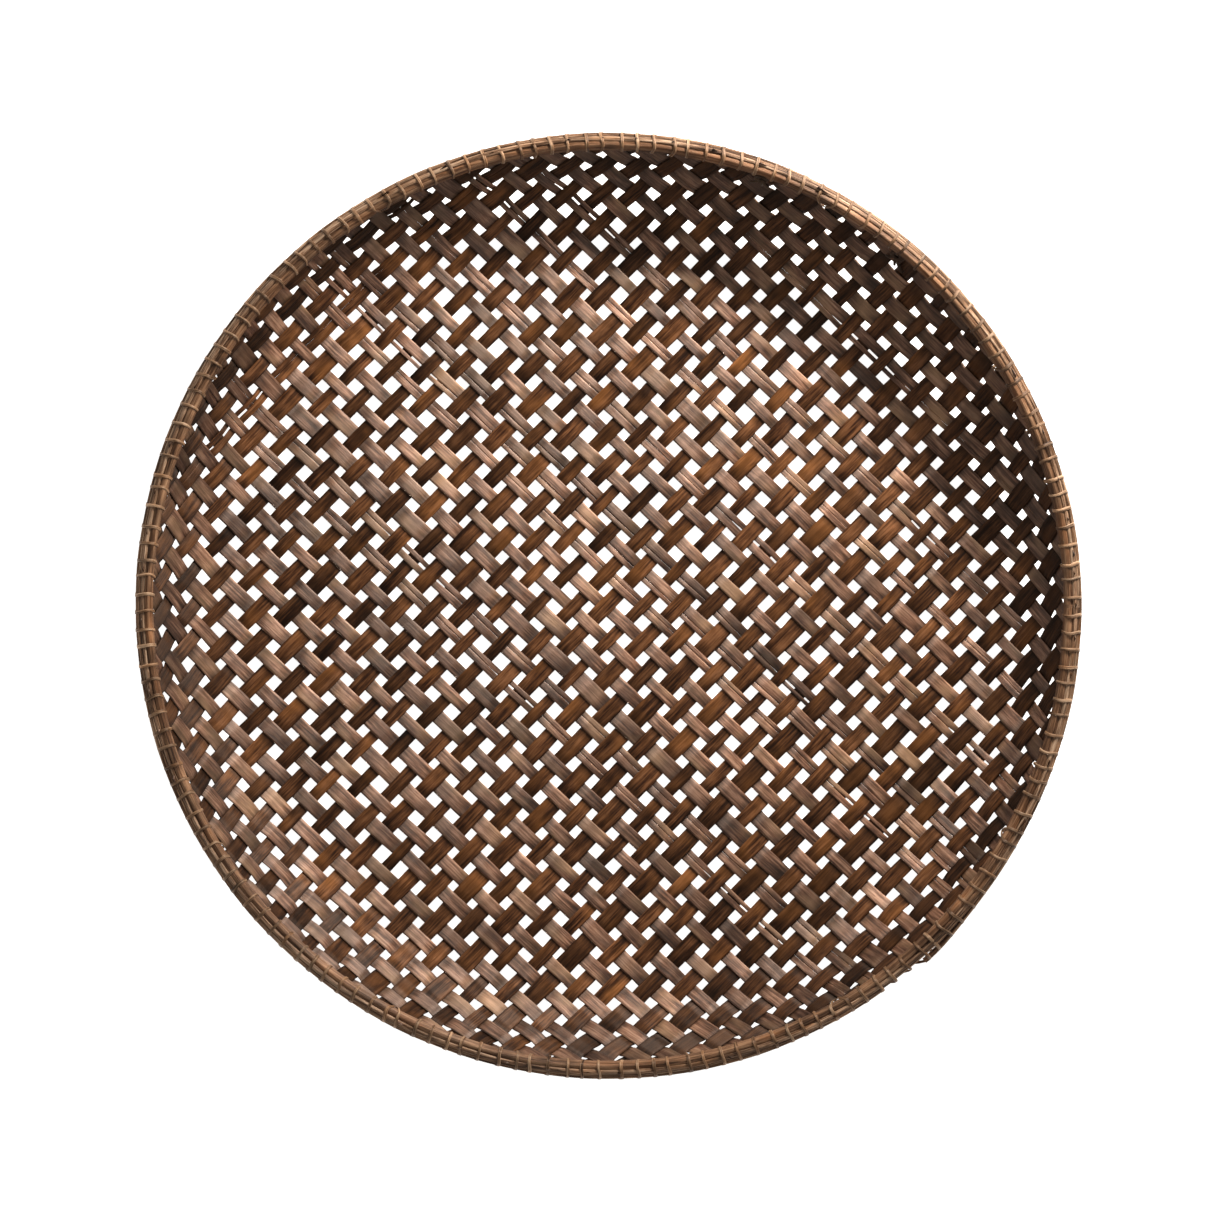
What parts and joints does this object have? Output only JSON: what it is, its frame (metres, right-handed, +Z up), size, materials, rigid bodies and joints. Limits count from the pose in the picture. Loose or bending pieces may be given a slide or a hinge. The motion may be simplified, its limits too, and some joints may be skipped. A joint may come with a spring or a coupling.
{
  "type": "winnowing basket",
  "caption": "Round shallow open-weave tray of crossed flat splints, its edge held between two hoops bound with spiral lashings, for tossing and sifting grain.",
  "frame": {"origin": "centre of the flat underside of the tray", "axes": "+Z up through the open mouth, along the axis of the round tray; +X and +Y lie in the plane of the rim, about 45 degrees from the splints, with +Y towards the top of the pictured view"},
  "size_m": [0.6018, 0.6018, 0.0588],
  "materials": {
    "splints_lower_mat": "aged bamboo or cane splint, dark red-brown, satin",
    "splint_upper": "aged bamboo or cane splint, grey-brown, satin",
    "hoop_outer": "split cane, lengthwise grooves, satin",
    "hoop_inner": "split cane, lengthwise grain, satin",
    "lashing": "thin cane strip, pale tan, satin"
  },
  "bodies": {
    "root": {"splints_lower_mat": "splints_lower_mat", "splint_upper_01": "splint_upper", "splint_upper_02": "splint_upper", "splint_upper_03": "splint_upper", "splint_upper_04": "splint_upper", "splint_upper_05": "splint_upper", "splint_upper_06": "splint_upper", "splint_upper_07": "splint_upper", "splint_upper_08": "splint_upper", "splint_upper_09": "splint_upper", "splint_upper_10": "splint_upper", "splint_upper_11": "splint_upper", "splint_upper_12": "splint_upper", "splint_upper_13": "splint_upper", "splint_upper_14": "splint_upper", "splint_upper_15": "splint_upper", "splint_upper_16": "splint_upper", "splint_upper_17": "splint_upper", "splint_upper_18": "splint_upper", "splint_upper_19": "splint_upper", "splint_upper_20": "splint_upper", "splint_upper_21": "splint_upper", "splint_upper_22": "splint_upper", "splint_upper_23": "splint_upper", "splint_upper_24": "splint_upper", "splint_upper_25": "splint_upper", "splint_upper_26": "splint_upper", "splint_upper_27": "splint_upper", "splint_upper_28": "splint_upper", "splint_upper_29": "splint_upper", "splint_upper_30": "splint_upper", "splint_upper_31": "splint_upper", "splint_upper_32": "splint_upper", "splint_upper_33": "splint_upper", "splint_upper_34": "splint_upper", "splint_upper_35": "splint_upper", "splint_upper_36": "splint_upper", "splint_upper_37": "splint_upper", "splint_upper_38": "splint_upper", "splint_upper_39": "splint_upper", "hoop_outer": "hoop_outer", "hoop_inner": "hoop_inner", "lashing_01": "lashing", "lashing_02": "lashing", "lashing_03": "lashing", "lashing_04": "lashing", "lashing_05": "lashing", "lashing_06": "lashing", "lashing_07": "lashing", "lashing_08": "lashing", "lashing_09": "lashing", "lashing_10": "lashing", "lashing_11": "lashing", "lashing_12": "lashing", "lashing_13": "lashing", "lashing_14": "lashing"}
  },
  "joints": []
}
